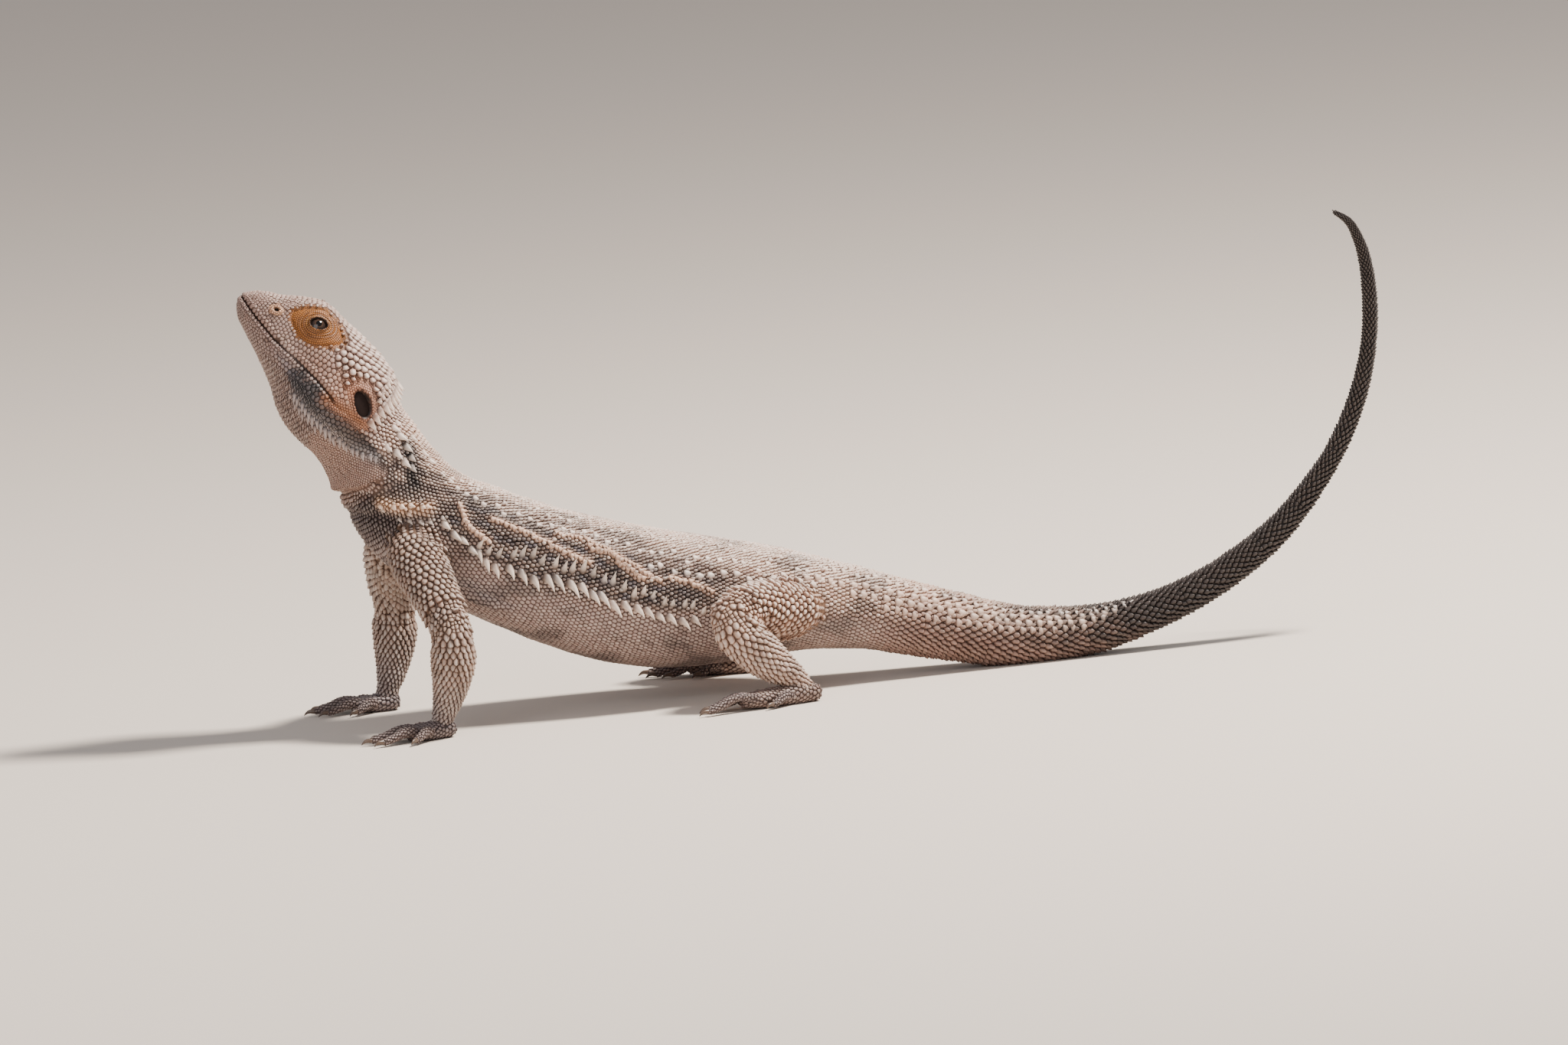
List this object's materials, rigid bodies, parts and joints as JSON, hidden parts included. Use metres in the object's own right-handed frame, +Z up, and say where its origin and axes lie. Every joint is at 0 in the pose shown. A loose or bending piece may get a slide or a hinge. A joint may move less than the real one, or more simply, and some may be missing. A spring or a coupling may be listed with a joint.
{
  "type": "bearded dragon",
  "caption": "Life-size still model of a bearded dragon, standing with its chest raised, its head tipped up and its long dark tail curled upward.",
  "frame": {"origin": "on the floor under the middle of the model's bounding box, between the soles and the underside of the tail base", "axes": "+Z up from the floor, head towards -X, tail towards +X, the animal's left side towards -Y"},
  "size_m": [0.3339, 0.101, 0.1293],
  "materials": {
    "head skin": "matt scaly skin, warm greyish beige with an ochre eyelid",
    "beard skin": "matt scaly skin, bluish grey",
    "back skin": "matt scaly skin, pale greyish beige with brown-grey bands",
    "limb skin": "matt keeled scales, pale beige",
    "dark tail skin": "matt keeled scales, brown-black",
    "eye": "glossy, dark brown",
    "eardrum": "thin dark membrane"
  },
  "bodies": {
    "root": {"eardrum_left": "eardrum", "eardrum_right": "eardrum", "eye_left": "eye", "eye_right": "eye", "foot_left": "limb skin", "foot_right": "limb skin", "forearm_left": "limb skin", "forearm_right": "limb skin", "hand_left": "limb skin", "hand_right": "limb skin", "head": "head skin", "jaw": "beard skin", "neck": "back skin", "shank_left": "limb skin", "shank_right": "limb skin", "tail_base": "back skin", "tail_middle": "dark tail skin", "tail_raised": "dark tail skin", "tail_tip": "dark tail skin", "thigh_left": "limb skin", "thigh_right": "limb skin", "torso": "back skin", "upper_arm_left": "limb skin", "upper_arm_right": "limb skin"}
  },
  "joints": []
}
